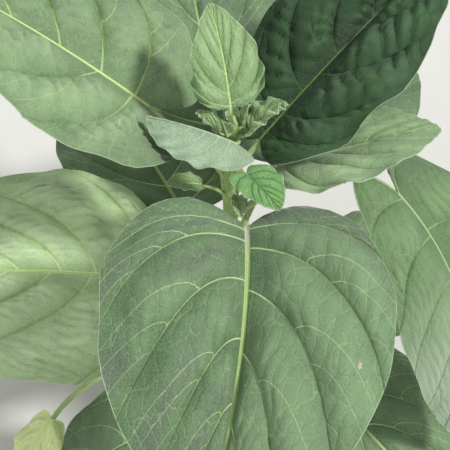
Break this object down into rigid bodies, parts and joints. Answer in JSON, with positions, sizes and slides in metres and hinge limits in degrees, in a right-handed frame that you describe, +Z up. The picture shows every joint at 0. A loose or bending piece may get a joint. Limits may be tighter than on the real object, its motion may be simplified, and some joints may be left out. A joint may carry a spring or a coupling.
{
  "type": "tobacco plant",
  "caption": "Young leafy tobacco plant with an upright stem, broad stalked leaves all round it and a crown of small folded leaves at its tip.",
  "frame": {"origin": "centre of the flat cut under the stem, at ground level", "axes": "+Z up along the stem, +Y away from the viewer of the front leaf, +X to that viewer's right"},
  "size_m": [0.5554, 0.575, 0.5258],
  "materials": {
    "stem": "satin green stem with fine hairs",
    "stalk": "satin pale green stalk",
    "leaf": "matte grey-green leaf with pale veins",
    "old_leaf": "matte yellowing leaf",
    "young_leaf": "soft light green leaf"
  },
  "bodies": {
    "root": {"stem": "stem", "bud": "young_leaf", "blade_01": "leaf", "blade_02": "leaf", "blade_03": "leaf", "blade_04": "leaf", "blade_05": "old_leaf", "blade_06": "leaf", "blade_07": "leaf", "blade_08": "leaf", "blade_09": "leaf", "blade_10": "leaf", "blade_11": "leaf", "blade_12": "leaf", "blade_13": "leaf", "blade_14": "leaf", "blade_15": "leaf", "blade_16": "leaf", "stalk_01": "stalk", "stalk_02": "stalk", "stalk_03": "stalk", "stalk_04": "stalk", "stalk_05": "stalk", "stalk_06": "stalk", "stalk_07": "stalk", "stalk_08": "stalk", "stalk_09": "stalk", "stalk_10": "stalk", "stalk_11": "stalk", "stalk_12": "stalk", "stalk_13": "stalk", "stalk_14": "stalk", "stalk_15": "stalk", "stalk_16": "stalk", "small_blade_1": "young_leaf", "small_blade_2": "young_leaf", "small_blade_3": "young_leaf", "small_blade_4": "young_leaf", "small_blade_5": "young_leaf", "small_blade_6": "young_leaf", "small_blade_7": "young_leaf", "small_blade_8": "young_leaf", "small_blade_9": "young_leaf", "small_stalk_1": "stalk", "small_stalk_2": "stalk", "small_stalk_3": "stalk", "small_stalk_4": "stalk", "small_stalk_5": "stalk", "small_stalk_6": "stalk", "small_stalk_7": "stalk", "small_stalk_8": "stalk", "small_stalk_9": "stalk"}
  },
  "joints": []
}
